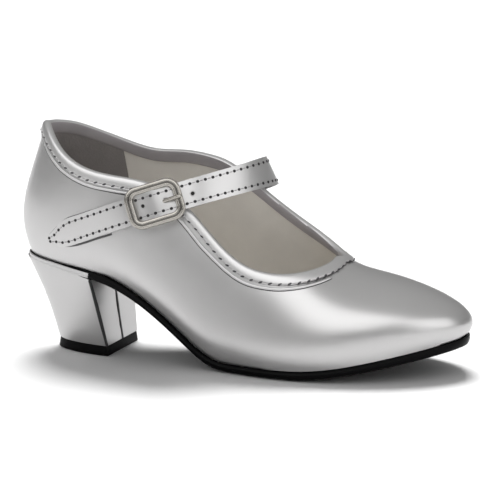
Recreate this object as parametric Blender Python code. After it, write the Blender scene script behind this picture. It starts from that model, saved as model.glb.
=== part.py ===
"""Flamenco shoe for a right foot: a closed heeled shoe with an instep strap and buckle.

Units are metres, +Z up. +X points to the toe and +Y to the wearer's left, the inner side of the foot.
The shoe stands on z = 0. Shapes are worked out with x = 0 at the back of the last, and every object
is then set back so that the world's origin is the middle of the heel's tread.

Heights written as h are measured up from the top of the sole at the same x.
"""

import math

import bmesh
import bpy
import numpy as np

# Driving sizes of the last
SHOE_LENGTH = 0.2140
BALL_WIDTH = 0.0705
SEAT_RISE = 0.0410
SEAT_PITCH = math.radians(4.0)
TOE_SPRING = 0.0135
INSTEP_HEIGHT = 0.1012
GIRTH_HEIGHT = 0.0154
COUNTER_HEIGHT = 0.0606
COUNTER_LEAN = 0.0130
COUNTER_REACH = 0.0900
AXIS_BACK = 0.0300
AXIS_FRONT = 0.1180
AXIS_BEND = 0.0227
BREAST_X = 0.0430
WAIST_X = 0.0586
BALL_X = 0.1010
ROLL_X = 0.1515
WAIST_BEND = 0.0290
BALL_BEND = 0.0080
ROLL_BEND = 0.0235

# Upper
UPPER_WALL = 0.0016
UPPER_COLUMNS = 84
UPPER_ROWS = 13
ROW_BEND_LENGTH = 0.015
FIT_GAP = 0.0003

# Rolled binding on the topline
BINDING_WALL = 0.0009
BINDING_DROP = 0.0045
BINDING_GAP = 0.0004

# Sole and insole
SOLE_THICKNESS = 0.0038
SOLE_WEAR = 0.00025
SOLE_MARGIN = 0.0009
SOLE_SEAT_THICKNESS = 0.0011
SOLE_EDGE_ROUND = 0.0008
SOLE_TAPER_FROM = 0.0220
SOLE_TAPER_TO = 0.0430
INSOLE_THICKNESS = 0.0020

# Heel
HEEL_TIP_BACK = 0.0179
HEEL_TIP_FRONT = 0.0480
HEEL_TIP_HALF = 0.0168
HEEL_INSET = 0.0002
HEEL_HOLLOW = 0.0008
HEEL_SKEW = 0.0034
LIFT_THICKNESS = 0.0043
LIFT_PROUD = 0.0003
LIFT_TAPER = 0.0006
HEEL_COLUMNS = 40

# Strap: it lies in one tilted plane, STRAP_RISE over the sole at STRAP_X and STRAP_Y. Its places were
# set on a shoe of these three sizes, and keep their shares of the shoe that it crosses.
LENGTH_SHARE = SHOE_LENGTH / 0.2140
BREADTH_SHARE = BALL_WIDTH / 0.0705
COUNTER_SHARE = COUNTER_HEIGHT / 0.0606
STRAP_WIDTH = 0.0123
STRAP_THICKNESS = 0.0018
STRAP_X = 0.0904 * LENGTH_SHARE
STRAP_Y = -0.0226 * BREADTH_SHARE
STRAP_RISE = 0.0665744278 * COUNTER_SHARE
STRAP_SLOPE_X = 0.367
STRAP_SLOPE_Y = -0.125
STRAP_TIP_X = 0.0228 * LENGTH_SHARE
STRAP_LEAVES_X = 0.0900 * LENGTH_SHARE
STRAP_LANDS_X = 0.1042 * LENGTH_SHARE
STRAP_END_X = 0.0830 * LENGTH_SHARE
STRAP_END_LIFT = 0.0005
STRAP_RIM_LIFT = 0.0021
STRAP_HANDLE_NEAR = 0.0180
STRAP_HANDLE_FAR = 0.0310
STRAP_FLARE = 0.0020
TAIL_ROWS = 17
BUCKLE_ROWS = 10

# Buckle, in its own directions: along the strap, across it and out from the shoe
BUCKLE_X = 0.0772 * LENGTH_SHARE
BUCKLE_LENGTH = 0.0262
BUCKLE_SIDE_GAP = 0.0006
BUCKLE_BAR = 0.0030
BUCKLE_THICKNESS = 0.0022
BUCKLE_CORNER = 0.0062
BUCKLE_LIFT = 0.0041
BUCKLE_HUMP = 0.0017
BUCKLE_HUMP_REACH = 0.0086
BUCKLE_TWIST_ROOM = 0.0003
BAR_RADIUS = 0.0008
BAR_DEPTH = 0.0016
PRONG_RADIUS = 0.0006
PRONG_HOLE_RADIUS = 0.0010
PRONG_HOOK = math.radians(285)
PRONG_OVER = 0.0010
TAB_LENGTH = 0.0105
TAB_WIDTH = 0.0066
TAB_SHIFT = -0.0021
TAB_THICKNESS = 0.0018
TAB_EYE_WALL = 0.0009
TAB_SLOT = 0.0021

# Sections of the last from heel (s = 0) to toe (s = 1).
# width and centre are shares of BALL_WIDTH, foot is the sole's share of the width,
# ridge is a share of INSTEP_HEIGHT and girth of GIRTH_HEIGHT, lean of BALL_WIDTH.
SECTIONS = {
    "s":      [0.00, 0.08, 0.20, 0.34, 0.48, 0.60, 0.66, 0.70, 0.80, 0.90, 1.00],
    "width":  [1.15, 1.08, 0.98, 0.86, 0.84, 0.98, 1.05, 1.09, 1.15, 1.17, 1.12],
    "foot":   [0.88, 0.88, 0.86, 0.80, 0.78, 0.88, 0.92, 0.93, 0.95, 0.95, 0.95],
    "centre": [0.00, 0.00, 0.00, -0.02, -0.02, 0.01, 0.03, 0.04, 0.08, 0.12, 0.15],
    "lean":   [0.00, 0.00, 0.02, 0.08, 0.10, 0.09, 0.06, 0.04, 0.02, 0.00, 0.00],
    "ridge":  [0.93, 0.94, 0.98, 1.00, 0.92, 0.71, 0.56, 0.47, 0.35, 0.28, 0.20],
    "girth":  [1.00, 1.00, 1.00, 1.06, 1.00, 0.82, 0.76, 0.71, 0.65, 0.50, 0.32],
}

# Height of the topline, as a share of COUNTER_HEIGHT, on the outer and the inner side of the foot
TOPLINE = {
    "s":     [0.00, 0.05, 0.09, 0.14, 0.20, 0.27, 0.34, 0.40, 0.46, 0.53, 0.60, 0.72, 0.86, 1.00],
    "outer": [1.00, 0.99, 0.92, 0.82, 0.76, 0.80, 0.91, 0.98, 0.95, 0.78, 0.70, 0.69, 0.71, 0.74],
    "inner": [1.00, 0.99, 0.97, 0.92, 0.86, 0.87, 1.03, 1.18, 1.29, 1.13, 0.96, 0.82, 0.74, 0.74],
}

# Profile of the back: height as a share of COUNTER_HEIGHT, set-in as a share of COUNTER_LEAN
BACK_PROFILE = {
    "h":      [0.00, 0.12, 0.33, 0.60, 0.82, 1.00, 1.50],
    "set_in": [0.37, 0.18, 0.08, 0.36, 0.71, 1.00, 1.70],
}

# The tail of the strap: distance from its tip as a share of the stretch from tip to buckle,
# lift off the quarter as a share of BUCKLE_LIFT, and width as a share of STRAP_WIDTH
TAIL = {
    "along": [0.00, 0.05, 0.12, 0.20, 0.45, 0.70, 1.00],
    "lift":  [0.12, 0.12, 0.12, 0.13, 0.22, 0.60, 1.00],
    "width": [0.10, 0.46, 0.78, 0.94, 1.00, 1.00, 1.00],
}

# Level of the end bars' undersides above the middle of the strap
BAR_LEVEL = STRAP_THICKNESS / 2 + FIT_GAP + BUCKLE_TWIST_ROOM

COLOURS = {
    "silver_leather": ((0.62, 0.61, 0.60), 0.32, 0.55),
    "silver_heel": ((0.60, 0.60, 0.59), 0.38, 0.45),
    "black_sole": ((0.012, 0.012, 0.013), 0.42, 0.0),
    "black_rubber": ((0.010, 0.010, 0.011), 0.55, 0.0),
    "beige_lining": ((0.50, 0.45, 0.38), 0.80, 0.0),
    "brushed_nickel": ((0.55, 0.53, 0.48), 0.30, 1.0),
}


def spline(xs, ys, x):
    """Natural cubic spline through the rows of a table."""
    xs, ys = np.asarray(xs, float), np.asarray(ys, float)
    step, rise = np.diff(xs), np.diff(ys)
    count = len(xs)
    system, right = np.eye(count), np.zeros(count)
    for i in range(1, count - 1):
        system[i, i - 1] = step[i - 1]
        system[i, i] = 2 * (step[i - 1] + step[i])
        system[i, i + 1] = step[i]
        right[i] = 6 * (rise[i] / step[i] - rise[i - 1] / step[i - 1])
    bend = np.linalg.solve(system, right)
    x = np.clip(x, xs[0], xs[-1])
    k = np.clip(np.searchsorted(xs, x) - 1, 0, count - 2)
    left, far = x - xs[k], xs[k + 1] - x
    return (
        (bend[k] * far**3 + bend[k + 1] * left**3) / (6 * step[k])
        + (ys[k] / step[k] - bend[k] * step[k] / 6) * far
        + (ys[k + 1] / step[k] - bend[k + 1] * step[k] / 6) * left
    )


def ramp(x, reach):
    """0 far below zero and x far above it, with a soft bend of the given reach between."""
    t = np.clip((x + reach) / (2 * reach), 0, 1)
    return np.where(x > reach, x, 2 * reach * (t**3 - t**4 / 2))


def smooth(t):
    """Soft step from 0 to 1."""
    t = np.clip(t, 0, 1)
    return t * t * (3 - 2 * t)


def turn_of(s):
    """Angle round the outline that belongs to the station s."""
    return np.arccos(1 - 2 * np.clip(s, 0, 1))


def column(table, name, s):
    """A named column of a table at the station s."""
    return spline(turn_of(np.array(table["s"])), table[name], turn_of(s))


def sole_top(x):
    """Height of the sole's upper face: seat, arch, ball and toe spring."""
    seat = math.tan(SEAT_PITCH)
    arch = (SEAT_RISE - seat * WAIST_X) / (BALL_X - WAIST_X)
    toe = TOE_SPRING / (SHOE_LENGTH - ROLL_X)
    return (
        SOLE_THICKNESS + SEAT_RISE - seat * x
        - (arch - seat) * ramp(x - WAIST_X, WAIST_BEND)
        + arch * ramp(x - BALL_X, BALL_BEND)
        + toe * ramp(x - ROLL_X, ROLL_BEND)
    )


def sole_bottom(x):
    """Height of the sole's lower face: thin over the heel, and flat on the floor under the ball."""
    grown = smooth((x - SOLE_TAPER_FROM) / (SOLE_TAPER_TO - SOLE_TAPER_FROM))
    full = SOLE_THICKNESS + SOLE_WEAR
    return np.maximum(sole_top(x) - SOLE_SEAT_THICKNESS - (full - SOLE_SEAT_THICKNESS) * grown, 0.0)


def half_width(s):
    return BALL_WIDTH * column(SECTIONS, "width", s) * np.sqrt(np.clip(s * (1 - s), 0, None))


def centre_line(s):
    return BALL_WIDTH * column(SECTIONS, "centre", s)


def toe_closure(s, start=0.78, power=2.0):
    """Share of a section's height that is left as the toe closes."""
    t = np.clip((s - start) / (1 - start), 0, 1)
    return np.sqrt(np.clip(1 - t**power, 0, None))


def level(x, y, h):
    """Below 0 inside the last and above 0 outside it."""
    fade = 1 - smooth(x / COUNTER_REACH)
    back_h = np.array(BACK_PROFILE["h"]) * COUNTER_HEIGHT
    set_in = COUNTER_LEAN * spline(back_h, BACK_PROFILE["set_in"], np.maximum(h, 0)) * fade
    s = (x - set_in) / SHOE_LENGTH
    beyond = (s <= 0) | (s >= 1)
    s = np.clip(s, 1e-6, 1 - 1e-6)
    girth = GIRTH_HEIGHT * column(SECTIONS, "girth", s)
    ridge = INSTEP_HEIGHT * column(SECTIONS, "ridge", s)
    closing = toe_closure(s)
    above = (ridge - girth) * closing
    below = girth / np.sqrt(1 - column(SECTIONS, "foot", s) ** 2) * closing
    up = h - girth
    lean = BALL_WIDTH * column(SECTIONS, "lean", s) * up / (ridge - girth)
    side = np.abs(y - centre_line(s) - lean)
    mix = smooth((np.arctan2(up, side) + 0.5) / 1.2)
    reach = np.maximum(below + (above - below) * mix, 1e-6)
    value = (side / half_width(s)) ** 2 + (up / reach) ** 2 - 1
    return np.where(beyond, 1.0, value)


def halve(low, high, goes_up, steps=40):
    """Bisection on arrays: the low end moves up wherever goes_up says so."""
    for _ in range(steps):
        middle = (low + high) / 2
        up = goes_up(middle)
        low = np.where(up, middle, low)
        high = np.where(up, high, middle)
    return (low + high) / 2


class LastRays:
    """Rays from the middle of the last out through its skin, one for each angle round the outline."""

    def __init__(self, turns):
        s = (1 - np.cos(turns)) / 2
        side = np.where(np.sin(turns) >= 0, -1.0, 1.0)
        rim_x = SHOE_LENGTH * s
        rim_y = centre_line(s) + side * half_width(s)
        self.x = AXIS_BACK + ramp(rim_x - AXIS_BACK, AXIS_BEND) - ramp(rim_x - AXIS_FRONT, AXIS_BEND)
        self.y = centre_line(self.x / SHOE_LENGTH)
        self.h = GIRTH_HEIGHT * column(SECTIONS, "girth", self.x / SHOE_LENGTH)
        away = np.hypot(rim_x - self.x, rim_y - self.y)
        self.dx, self.dy = (rim_x - self.x) / away, (rim_y - self.y) / away
        self.s, self.outer = s, side < 0

    def at(self, angle, reach):
        """Point of each ray at a distance from its start, as x, y and height over the sole."""
        flat = np.cos(angle) * reach
        return self.x + self.dx * flat, self.y + self.dy * flat, self.h + np.sin(angle) * reach

    def skin(self, angle):
        """Where each ray leaves the last."""
        none = np.zeros_like(self.x)
        reach = halve(none, none + 0.65 * SHOE_LENGTH, lambda r: level(*self.at(angle, r)) < 0)
        return self.at(angle, reach)

    def angle_of_height(self, height, low, high):
        """Elevation at which each ray leaves the last at the given height."""
        none = np.zeros_like(self.x)
        return halve(none + low, none + high, lambda a: self.skin(a)[2] < height, 28)


def topline_height(rays):
    outer = column(TOPLINE, "outer", rays.s)
    inner = column(TOPLINE, "inner", rays.s)
    return COUNTER_HEIGHT * np.where(rays.outer, outer, inner)


def last_skin(turns, rows, low_height):
    """Grid of points on the last from low_height up to the topline, a row for each level.

    Rows lie closer together where the skin bends.
    """
    rays = LastRays(turns)
    low = rays.angle_of_height(low_height, math.radians(-80), 0.0)
    high = rays.angle_of_height(topline_height(rays), 0.0, math.radians(88))
    shares = np.linspace(0, 1, 6 * rows + 1)
    fine = np.array([np.stack(rays.skin(low + (high - low) * share), 1) for share in shares])
    step = np.diff(fine, axis=0)
    length = np.linalg.norm(step, axis=2)
    ahead = step / length[:, :, None]
    bend = np.arccos(np.clip((ahead[1:] * ahead[:-1]).sum(2), -1, 1))
    bend = np.concatenate([bend[:1], bend])
    travel = np.concatenate([0 * length[:1], np.cumsum(length + ROW_BEND_LENGTH * bend, axis=0)])
    grid = []
    for j in range(rows + 1):
        wanted = travel[-1] * j / rows
        share = np.array([np.interp(w, travel[:, i], shares) for i, w in enumerate(wanted)])
        x, y, h = rays.skin(low + (high - low) * share)
        grid.append(np.stack([x, y, h + sole_top(x)], 1))
    return np.array(grid)


def even_turns(count):
    """Angles round a closed outline that has no point on the middle line."""
    return (np.arange(count) + 0.5) / count * 2 * math.pi


def grid_normals(grid, closed):
    """Unit normals of a grid, from its rows and columns."""
    if closed:
        along = np.roll(grid, -1, 1) - np.roll(grid, 1, 1)
    else:
        along = np.gradient(grid, axis=1)
    up = np.gradient(grid, axis=0)
    normal = np.cross(along, up)
    return normal / np.linalg.norm(normal, axis=2, keepdims=True)


def inner_skin(outer, wall):
    """The outer grid moved inwards by the wall, with its lowest row kept level with the outer one."""
    inner = outer - wall * grid_normals(outer, True)
    inner[0, :, 2] = sole_top(inner[0, :, 0]) + FIT_GAP
    return inner


def plan_offset(ring, distance):
    """A plan outline moved outwards by a distance, its height left as it is."""
    along = np.roll(ring, -1, 0) - np.roll(ring, 1, 0)
    out = np.stack([along[:, 1], -along[:, 0]], 1)
    out /= np.linalg.norm(out, axis=1, keepdims=True)
    moved = ring.copy()
    moved[:, :2] += distance * out
    return moved


def material(name):
    made = bpy.data.materials.get(name)
    if made:
        return made
    colour, roughness, metallic = COLOURS[name]
    made = bpy.data.materials.new(name)
    made.use_nodes = True
    shader = made.node_tree.nodes["Principled BSDF"]
    shader.inputs["Base Color"].default_value = (*colour, 1.0)
    shader.inputs["Roughness"].default_value = roughness
    shader.inputs["Metallic"].default_value = metallic
    made.diffuse_color = (*colour, 1.0)
    return made


def tread_centre():
    return (HEEL_TIP_BACK + HEEL_TIP_FRONT) / 2


def add_object(name, points, faces, finish, sharp=30.0):
    """A named object from points and faces, set back so that the heel's tread is at the origin."""
    mesh = bpy.data.meshes.new(name)
    mesh.from_pydata([tuple(p) for p in points], [], faces)
    mesh.validate()
    bm = bmesh.new()
    bm.from_mesh(mesh)
    bmesh.ops.recalc_face_normals(bm, faces=bm.faces)
    bm.to_mesh(mesh)
    bm.free()
    mesh.shade_smooth()
    mesh.set_sharp_from_angle(angle=math.radians(sharp))
    mesh.materials.append(material(finish))
    made = bpy.data.objects.new(name, mesh)
    made.location = (-tread_centre(), 0.0, 0.0)
    bpy.context.scene.collection.objects.link(made)
    return made


def grid_faces(rows, columns, closed, start=0):
    """Quads between neighbouring rows of a grid of points."""
    last = columns if closed else columns - 1
    return [
        (
            start + j * columns + i,
            start + j * columns + (i + 1) % columns,
            start + (j + 1) * columns + (i + 1) % columns,
            start + (j + 1) * columns + i,
        )
        for j in range(rows - 1)
        for i in range(last)
    ]


def add_wall(name, outer, inner, finish):
    """A ring-shaped wall: outer skin, inner skin, and the two rims that join them."""
    loop = np.concatenate([outer, inner[::-1], outer[:1]])
    points = loop[:-1].reshape(-1, 3)
    rows, columns = len(loop), outer.shape[1]
    count = len(points)
    faces = [tuple(p % count for p in face) for face in grid_faces(rows, columns, True)]
    return add_object(name, points, faces, finish)


def add_stack(name, rings, finish, sharp=30.0):
    """A solid lofted through rings of even length, each end closed by rungs from side to side."""
    columns = len(rings[0])
    points = np.concatenate(rings)
    faces = grid_faces(len(rings), columns, True)
    for start in (0, (len(rings) - 1) * columns):
        faces += [
            (start + i, start + i + 1, start + columns - 2 - i, start + columns - 1 - i)
            for i in range(columns // 2 - 1)
        ]
    return add_object(name, points, faces, finish, sharp)


def add_band(name, under, over, finish):
    """A flat band: its lower and upper faces are open grids, joined all round."""
    rows, columns = under.shape[:2]
    count = rows * columns
    points = np.concatenate([under.reshape(-1, 3), over.reshape(-1, 3)])
    faces = grid_faces(rows, columns, False) + grid_faces(rows, columns, False, count)
    edge = [i for i in range(columns)]
    edge += [j * columns + columns - 1 for j in range(1, rows)]
    edge += [(rows - 1) * columns + i for i in range(columns - 2, -1, -1)]
    edge += [j * columns for j in range(rows - 2, 0, -1)]
    for a, b in zip(edge, edge[1:] + edge[:1]):
        faces.append((a, b, b + count, a + count))
    return add_object(name, points, faces, finish)


def cut(target, cutter, operation="DIFFERENCE"):
    """Boolean of two objects, applied, with the cutter removed."""
    modifier = target.modifiers.new("cut", "BOOLEAN")
    modifier.object = cutter
    modifier.operation = operation
    bpy.context.view_layer.update()
    result = bpy.data.meshes.new_from_object(
        target.evaluated_get(bpy.context.evaluated_depsgraph_get())
    )
    target.modifiers.clear()
    target.data = result
    bpy.data.objects.remove(cutter)


def make_upper():
    outer = last_skin(even_turns(UPPER_COLUMNS), UPPER_ROWS, FIT_GAP)
    inner = inner_skin(outer, UPPER_WALL)
    add_wall("upper", outer, inner, "silver_leather")
    return outer, inner


def make_binding(outer, inner):
    """A strip folded over the topline: an inverted U that clears the wall by the fit gap."""
    rim_out, rim_in = outer[-1], inner[-1]
    out = rim_out - rim_in
    out /= np.linalg.norm(out, axis=1, keepdims=True)
    rise = rim_out - outer[-2]
    rise /= np.linalg.norm(rise, axis=1, keepdims=True)
    rise_in = rim_in - inner[-2]
    rise_in /= np.linalg.norm(rise_in, axis=1, keepdims=True)
    lower, drop_in = rim_out - rise * BINDING_DROP, rim_in - rise_in * BINDING_DROP
    near, far = BINDING_GAP, BINDING_GAP + BINDING_WALL
    crown = far + 0.25 * BINDING_WALL
    section = [
        lower + out * near,
        lower + out * far,
        rim_out + out * far - rise * 0.3 * far,
        rim_out + out * 0.4 * far + rise * crown,
        rim_in - out * 0.4 * far + rise * crown,
        rim_in - out * far - rise * 0.3 * far,
        drop_in - out * far,
        drop_in - out * near,
        rim_in - out * near + rise * near,
        rim_out + out * near + rise * near,
    ]
    rings = np.array(section)
    columns = rings.shape[1]
    points = rings.reshape(-1, 3)
    wrapped = grid_faces(len(rings) + 1, columns, True)
    faces = [tuple(p % len(points) for p in face) for face in wrapped]
    add_object("topline_binding", points, faces, "silver_leather", 50.0)


def sole_outline(turns, margin):
    """Plan outline of the upper's lower edge with a margin, as x, y and the height of the sole."""
    rays = LastRays(turns)
    x, y, _ = rays.skin(rays.angle_of_height(FIT_GAP, math.radians(-80), 0.0))
    ring = plan_offset(np.stack([x, y, sole_top(x)], 1), margin)
    ring[:, 2] = sole_top(ring[:, 0])
    return ring


def make_outsole():
    turns = even_turns(UPPER_COLUMNS)
    top = sole_outline(turns, SOLE_MARGIN)
    low = sole_outline(turns, SOLE_MARGIN - SOLE_EDGE_ROUND)
    low[:, 2] = sole_bottom(low[:, 0])
    middle = top.copy()
    middle[:, 2] = 0.35 * sole_top(top[:, 0]) + 0.65 * sole_bottom(top[:, 0])
    add_stack("outsole", [top, middle, low], "black_sole", 40.0)


def make_insole(inner):
    low = plan_offset(inner[0], -FIT_GAP)
    low[:, 2] = sole_top(low[:, 0]) + FIT_GAP
    high = low.copy()
    high[:, 2] += INSOLE_THICKNESS
    add_stack("insole", [low, high], "beige_lining")


def heel_outline():
    """Outline of the heel's top: the sole's outline from the breast round the back, as an open D."""
    limit = float(turn_of(BREAST_X / SHOE_LENGTH))
    turns = limit * (1 - 2 * (np.arange(HEEL_COLUMNS) + 0.5) / HEEL_COLUMNS)
    ring = sole_outline(even_turns(4 * UPPER_COLUMNS), SOLE_MARGIN - SOLE_EDGE_ROUND - HEEL_INSET)
    around = np.arctan2(np.sin(even_turns(4 * UPPER_COLUMNS)), np.cos(even_turns(4 * UPPER_COLUMNS)))
    order = np.argsort(around)
    x = np.interp(turns, around[order], ring[order, 0])
    y = np.interp(turns, around[order], ring[order, 1])
    return x, y


def heel_ring(x, y, share, grow=0.0):
    """The heel's outline at a share of the way down: 0 under the seat and 1 at the tip."""
    back, front, half = x.min(), x.max(), np.abs(y).max()
    hollow = HEEL_HOLLOW * math.sin(math.pi * share)
    tip_x = HEEL_TIP_BACK + (x - back) / (front - back) * (HEEL_TIP_FRONT - HEEL_TIP_BACK)
    tip_y = y * HEEL_TIP_HALF / half
    ring_x = x + (tip_x - x) * share
    ring_y = (y + (tip_y - y) * share) * (1 - hollow / half)
    ring_x += hollow * (front - x) / (front - back)
    ring_x += HEEL_SKEW * (1 - share / 2) * (y / half + 1) / 2 * ((x - back) / (front - back)) ** 2
    ring = np.stack([ring_x, ring_y, np.zeros_like(x)], 1)
    return plan_offset(ring, grow)


def make_heel():
    x, y = heel_outline()
    tip = LIFT_THICKNESS + FIT_GAP
    rings = []
    for share in (0.0, 0.2, 0.4, 0.6, 0.8, 1.0):
        ring = heel_ring(x, y, share)
        seat = sole_bottom(ring[:, 0] if share == 0 else x) - FIT_GAP
        ring[:, 2] = seat + (tip - seat) * share
        rings.append(ring)
    add_stack("heel_block", rings, "silver_heel", 35.0)
    lift_top = heel_ring(x, y, 1.0, LIFT_PROUD)
    lift_top[:, 2] = LIFT_THICKNESS
    lift_low = heel_ring(x, y, 1.0, LIFT_PROUD - LIFT_TAPER)
    add_stack("top_lift", [lift_top, lift_low], "black_rubber")


def strap_plane_z(x, y):
    middle = sole_top(STRAP_X) + STRAP_RISE
    return middle + STRAP_SLOPE_X * (x - STRAP_X) + STRAP_SLOPE_Y * (y - STRAP_Y)


def strap_across():
    """Unit direction across the strap, square to its plane."""
    across = np.array([-STRAP_SLOPE_X, -STRAP_SLOPE_Y, 1.0])
    return across / np.linalg.norm(across)


def quarter_y(x, z, side):
    """Sideways place of the last's skin at x and z, on side -1 (outer) or +1 (inner)."""
    h = z - sole_top(x)
    start = centre_line(x / SHOE_LENGTH) + 0 * h
    reach = halve(0 * h, 0 * h + BALL_WIDTH, lambda r: level(x, start + side * r, h) < 0)
    return start + side * reach


def strap_on_quarter(x, lift, half_width_up, half_width_down, side):
    """Rows of underside points where the strap lies against the shoe, one row for each x."""
    y = np.full_like(x, side * 0.4 * BALL_WIDTH)
    for _ in range(6):
        y = quarter_y(x, strap_plane_z(x, y), side) + side * lift
    across = strap_across()
    rows = []
    for share in (-1.0, -0.5, 0.0, 0.5, 1.0):
        reach = share * np.where(share > 0, half_width_up, half_width_down)
        px, pz = x + reach * across[0], strap_plane_z(x, y) + reach * across[2]
        rows.append(np.stack([px, quarter_y(px, pz, side) + side * lift, pz], 1))
    return np.array(rows).transpose(1, 0, 2)


def strap_underside():
    """Underside of the strap from the tip of its tail, through the buckle, over to the inner side."""
    half = STRAP_WIDTH / 2
    buckle_start = BUCKLE_X - BUCKLE_LENGTH / 2
    tail_x = STRAP_TIP_X + (buckle_start - STRAP_TIP_X) * np.linspace(0, 1, TAIL_ROWS) ** 1.3
    in_buckle = np.linspace(buckle_start, STRAP_LEAVES_X, BUCKLE_ROWS + 1)[1:]
    x = np.concatenate([tail_x, in_buckle])
    along = (x - STRAP_TIP_X) / (buckle_start - STRAP_TIP_X)
    lift = BUCKLE_LIFT * spline(TAIL["along"], TAIL["lift"], along)
    width = half * spline(TAIL["along"], TAIL["width"], along)
    hump = BUCKLE_HUMP * smooth(1 - np.abs(x - BUCKLE_X) / BUCKLE_HUMP_REACH)
    near = strap_on_quarter(x, lift + hump, width, width, -1)

    end_x = np.linspace(STRAP_LANDS_X, STRAP_END_X, 7)
    flare = half + STRAP_FLARE
    end_lift = np.linspace(STRAP_RIM_LIFT, STRAP_END_LIFT, len(end_x))
    far = strap_on_quarter(end_x, end_lift, flare + 0 * end_x, half + 0 * end_x, 1)

    start, finish = near[-1, 2], far[0, 2]
    ahead = near[-1, 2] - near[-3, 2]
    back = far[0, 2] - far[2, 2]
    handle_near = start + STRAP_HANDLE_NEAR * ahead / np.linalg.norm(ahead)
    handle_far = finish + STRAP_HANDLE_FAR * back / np.linalg.norm(back)
    bridge = []
    for t in np.linspace(0, 1, 22)[1:-1]:
        point = (
            (1 - t) ** 3 * start + 3 * t * (1 - t) ** 2 * handle_near
            + 3 * t**2 * (1 - t) * handle_far + t**3 * finish
        )
        mix = smooth(t)
        bridge.append(point + (1 - mix) * (near[-1] - start) + mix * (far[0] - finish))
    return np.concatenate([near, np.array(bridge), far])


def buckle_frame_of(underside):
    """Centre and directions of the buckle, from the strap's underside at its two end bars."""
    middle = underside[: TAIL_ROWS + BUCKLE_ROWS, 2]
    reach = BUCKLE_LENGTH / 2 - BUCKLE_BAR / 2
    ends = []
    for x in (BUCKLE_X - reach, BUCKLE_X + reach):
        ends.append(np.array([np.interp(x, middle[:, 0], middle[:, k]) for k in range(3)]))
    along = ends[1] - ends[0]
    along /= np.linalg.norm(along)
    nearest = int(np.argmin(np.abs(middle[:, 0] - BUCKLE_X)))
    across = underside[nearest, 4] - underside[nearest, 0]
    across -= along * across.dot(along)
    across /= np.linalg.norm(across)
    out = np.cross(along, -across)
    out *= -np.sign(out[1])
    centre = (ends[0] + ends[1]) / 2 + out * STRAP_THICKNESS / 2
    return centre, along, across, out


def place(frame, points):
    """Points given along, across and out of the buckle, in the shoe's own frame."""
    centre, along, across, out = frame
    points = np.asarray(points)
    return centre + points[..., :1] * along + points[..., 1:2] * across + points[..., 2:] * out


def tube_rings(path, radius_side, radius_out, sides, side_way):
    """Rings of an oval tube along a path; side_way gives the flat direction at each point."""
    rings = []
    for k, point in enumerate(path):
        ahead = path[min(k + 1, len(path) - 1)] - path[max(k - 1, 0)]
        ahead /= np.linalg.norm(ahead)
        side = np.cross(ahead, side_way[k])
        side /= np.linalg.norm(side)
        up = np.cross(side, ahead)
        turns = np.arange(sides) / sides * 2 * math.pi + math.pi / sides
        rings.append(
            point + np.outer(np.cos(turns) * radius_side[k], side) + np.outer(np.sin(turns) * radius_out[k], up)
        )
    return rings


def rounded_rectangle(length, width, corner, per_corner=6, per_side=4):
    """Points round a rectangle with quarter-circle corners, centred on zero."""
    points = []
    for quarter in range(4):
        cx = (length / 2 - corner) * (1 if quarter in (0, 3) else -1)
        cy = (width / 2 - corner) * (1 if quarter in (0, 1) else -1)
        for i in range(per_corner):
            turn = math.radians(90 * quarter + 90 * i / (per_corner - 1))
            points.append(np.array((cx + corner * math.cos(turn), cy + corner * math.sin(turn))))
    outline = []
    for k, point in enumerate(points):
        following = points[(k + 1) % len(points)]
        outline.append(point)
        if k % per_corner == per_corner - 1:
            outline += [point + (following - point) * i / per_side for i in range(1, per_side)]
    return np.array(outline)


def buckle_width():
    return STRAP_WIDTH + 2 * BUCKLE_SIDE_GAP + 2 * BUCKLE_BAR


def make_buckle(frame):
    """Frame with end bars over the strap, deep side rails, and a centre bar under it, in one casting."""
    outline = rounded_rectangle(
        BUCKLE_LENGTH - BUCKLE_BAR, buckle_width() - BUCKLE_BAR, BUCKLE_CORNER - BUCKLE_BAR / 2
    )
    towards_end = smooth(np.abs(outline[:, 0]) / (BUCKLE_LENGTH / 2 - BUCKLE_BAR) * 1.6 - 0.6)
    top = BAR_LEVEL + BUCKLE_THICKNESS
    rail_low = -BAR_DEPTH - BAR_RADIUS
    low = rail_low + (BAR_LEVEL - rail_low) * towards_end
    levels = (top + low) / 2
    path = np.column_stack([outline, levels])
    count, sides = len(path), 12
    rings = []
    for k in range(count):
        ahead = path[(k + 1) % count] - path[k - 1]
        side = np.array([ahead[1], -ahead[0], 0.0])
        side /= np.linalg.norm(side)
        turns = np.arange(sides) / sides * 2 * math.pi
        flat = np.cos(turns) * BUCKLE_BAR / 2
        high = np.sin(turns) * (top - low[k]) / 2
        rings.append(path[k] + np.outer(flat, side) + np.outer(high, (0, 0, 1)))
    points = place(frame, np.array(rings)).reshape(-1, 3)
    faces = [tuple(p % len(points) for p in face) for face in grid_faces(count + 1, sides, True)]
    made = add_object("buckle_frame", points, faces, "brushed_nickel", 60.0)
    reach = buckle_width() / 2 - BUCKLE_BAR * 0.45
    path = place(frame, [(0, -reach, -BAR_DEPTH), (0, reach, -BAR_DEPTH)])
    radii = [BAR_RADIUS] * 2
    rings = tube_rings(path, radii, radii, 12, [frame[3]] * 2)
    bar = add_stack("centre_bar", rings, "brushed_nickel", 60.0)
    cut(made, bar, "UNION")


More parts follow.
